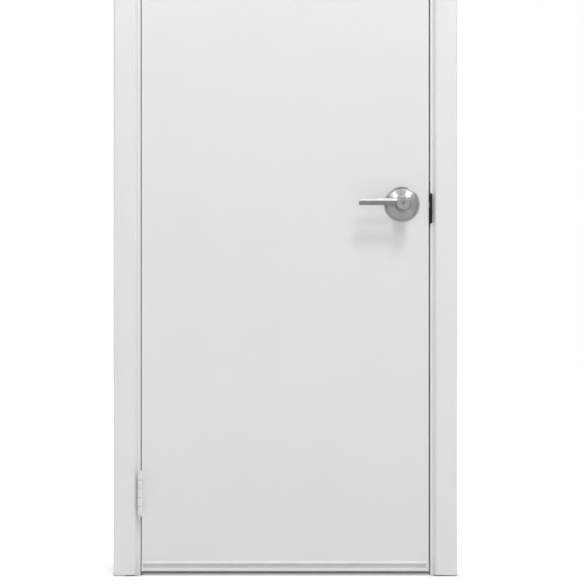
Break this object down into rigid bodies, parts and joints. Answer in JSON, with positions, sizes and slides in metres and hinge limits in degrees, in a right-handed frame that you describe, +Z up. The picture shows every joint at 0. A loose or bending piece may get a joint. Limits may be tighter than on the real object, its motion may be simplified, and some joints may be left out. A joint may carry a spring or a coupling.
{
  "type": "steel fire door",
  "caption": "Flush hollow steel fire door in a steel frame with clip-on casings, butt hinges, keyed lever lock, strike and bottom sweep.",
  "frame": {"origin": "on the floor, on the wall-side face of the hinge jamb's front wall flange, on the line of its fixing screws", "axes": "+X from the hinge side to the lock side, +Y into the wall, +Z up"},
  "size_m": [0.9018, 0.2048, 2.1019],
  "materials": {
    "frame_paint": "smooth factory enamel, white",
    "leaf_paint": "smooth factory enamel, white",
    "hinge_paint": "white enamel over steel",
    "zinc_plated": "zinc plated steel",
    "satin_nickel": "satin nickel, turned",
    "strike_black": "black coated steel",
    "sweep_aluminium": "white coated aluminium",
    "sweep_band": "grey vinyl strip",
    "sweep_end_plastic": "white plastic",
    "dark_rubber": "dark rubber blade",
    "grey_rubber": "grey rubber",
    "door_core": "resin-bonded honeycomb core"
  },
  "bodies": {
    "frame": {"hinge_jamb": "frame_paint", "strike_jamb": "frame_paint", "head_jamb": "frame_paint", "front_wall_flanges": "frame_paint", "rear_wall_flanges": "frame_paint", "corner_brackets": "zinc_plated", "front_casing_hinge_side": "frame_paint", "front_casing_strike_side": "frame_paint", "front_casing_head": "frame_paint", "rear_casing_hinge_side": "frame_paint", "rear_casing_strike_side": "frame_paint", "rear_casing_head": "frame_paint", "casing_clips_front": "zinc_plated", "casing_clips_rear": "zinc_plated", "bottom_hinge_frame_leaf": "hinge_paint", "top_hinge_frame_leaf": "hinge_paint", "bottom_hinge_pin": "hinge_paint", "top_hinge_pin": "hinge_paint", "hinge_backing_frame": "zinc_plated", "strike_plate": "strike_black", "strike_box": "zinc_plated", "silencers": "grey_rubber"},
    "leaf": {"leaf_front_skin": "leaf_paint", "leaf_rear_skin": "leaf_paint", "leaf_core": "door_core", "leaf_top_channel": "leaf_paint", "leaf_bottom_channel": "leaf_paint", "bottom_hinge_door_leaf": "hinge_paint", "top_hinge_door_leaf": "hinge_paint", "hinge_backing_door": "zinc_plated", "front_rose": "satin_nickel", "rear_rose": "satin_nickel", "lock_chassis": "zinc_plated", "latch_front": "satin_nickel", "sweep_retainer": "sweep_aluminium", "sweep_insert": "sweep_band", "sweep_blade": "dark_rubber", "sweep_end_caps": "sweep_end_plastic"},
    "front_lever": {"front_lever": "satin_nickel"},
    "rear_lever": {"rear_lever": "satin_nickel"},
    "key_plug": {"key_plug": "satin_nickel"},
    "latch_bolt": {"latch_bolt": "satin_nickel"}
  },
  "joints": [
    {"name": "door_swing", "type": "hinge", "parent": "frame", "child": "leaf", "pos_m": [0.0361, -0.02145, 0.2185], "axis": [0, 0, -1], "range_deg": [0, 170]},
    {"name": "front_lever_turn", "type": "hinge", "parent": "leaf", "child": "front_lever", "pos_m": [0.72256, -0.0024, 0.9765], "axis": [0, -1, 0], "range_deg": [0, 50], "stiffness_Nm_per_rad": 1, "springref_deg": -28.65},
    {"name": "rear_lever_turn", "type": "hinge", "parent": "leaf", "child": "rear_lever", "pos_m": [0.72256, 0.04205, 0.9765], "axis": [0, -1, 0], "range_deg": [0, 50], "stiffness_Nm_per_rad": 1, "springref_deg": -28.65},
    {"name": "latch_slide", "type": "slide", "parent": "leaf", "child": "latch_bolt", "axis": [-1, 0, 0], "range_m": [0, 0.0127]},
    {"name": "key_turn", "type": "hinge", "parent": "front_lever", "child": "key_plug", "pos_m": [0.72256, -0.0644, 0.9765], "axis": [0, -1, 0], "range_deg": [-90, 90]}
  ],
  "couplings": [
    {"joint": "latch_slide", "follows": "front_lever_turn", "m_per_rad": 0.01455}
  ]
}
